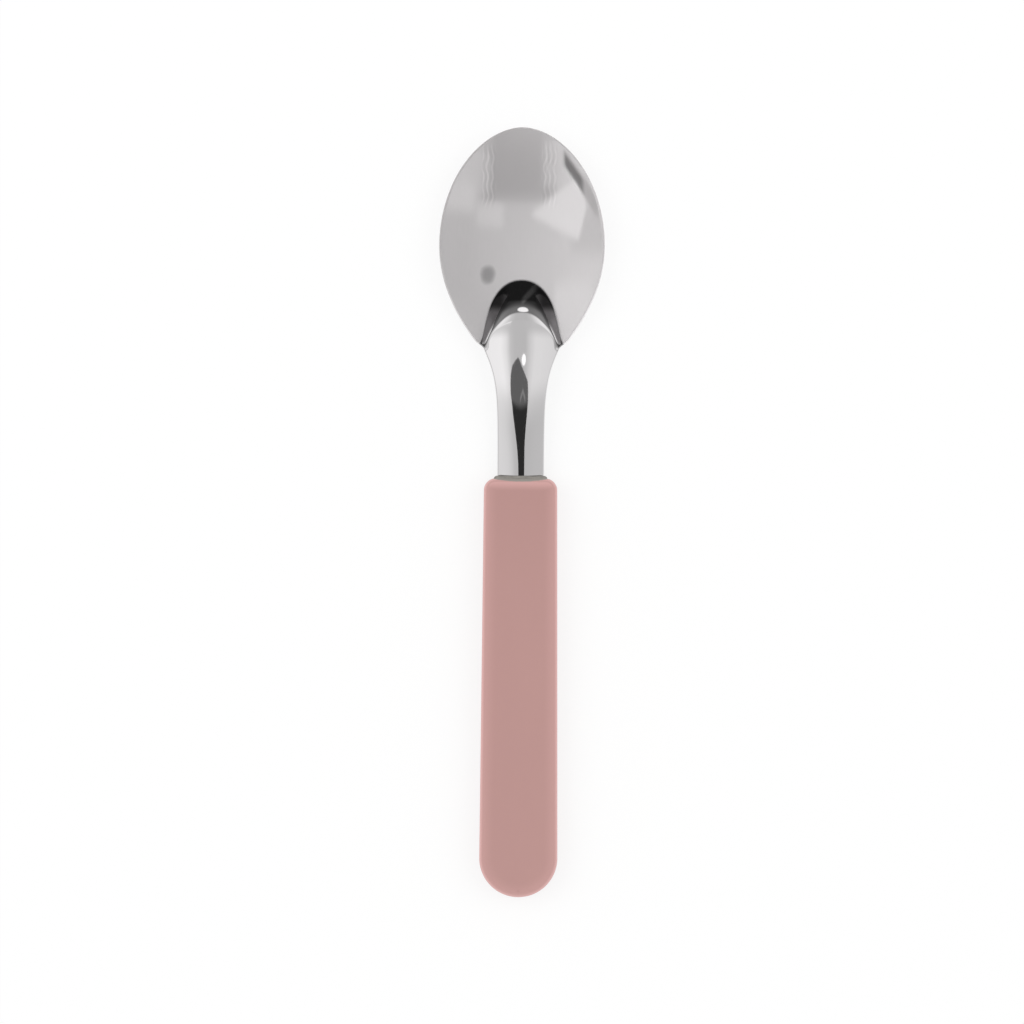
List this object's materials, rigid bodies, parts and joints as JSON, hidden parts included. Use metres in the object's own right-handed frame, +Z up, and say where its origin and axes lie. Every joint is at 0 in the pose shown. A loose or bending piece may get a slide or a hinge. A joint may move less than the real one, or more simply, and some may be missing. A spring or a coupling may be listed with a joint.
{
  "type": "teaspoon",
  "caption": "Teaspoon with a stamped steel bowl, a step down from an arched neck into the bowl, and a flat round-ended plastic handle.",
  "frame": {"origin": "on the surface that the spoon lies on, under the middle of its footprint", "axes": "+Y along the spoon towards the tip of the bowl, +Z up out of the bowl's hollow"},
  "size_m": [0.0306, 0.142, 0.0059],
  "materials": {
    "polished_steel": "stainless steel, mirror polished on the neck and softly polished in the bowl",
    "pink_plastic": "dusty pink moulded plastic, satin",
    "grey_resin": "grey filling resin, matt"
  },
  "bodies": {
    "root": {"spoon_head": "polished_steel", "handle": "pink_plastic", "tang_resin": "grey_resin"}
  },
  "joints": []
}
